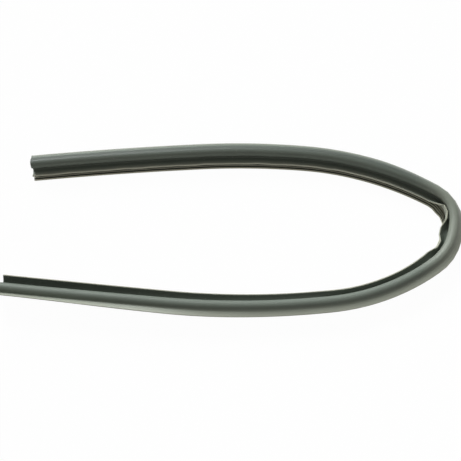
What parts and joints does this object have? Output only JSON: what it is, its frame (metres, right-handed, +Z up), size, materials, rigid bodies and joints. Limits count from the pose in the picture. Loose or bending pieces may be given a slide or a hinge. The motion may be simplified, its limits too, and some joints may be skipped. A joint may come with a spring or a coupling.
{
  "type": "dishwasher door seal",
  "caption": "One-piece extruded rubber dishwasher door seal laid in a narrow U, with a hollow bulb, an outer flange, an inner lip and gripping ribs in a slot.",
  "frame": {"origin": "middle of the box that the seal covers on the ground, at the ground", "axes": "+X towards the bend of the U, +Y towards the arm that lies flat, +Z up from the foot to the bulb"},
  "size_m": [0.2724, 0.1098, 0.0122],
  "materials": {
    "rubber": "satin, as extruded"
  },
  "bodies": {
    "root": {"door_seal": "rubber"}
  },
  "joints": []
}
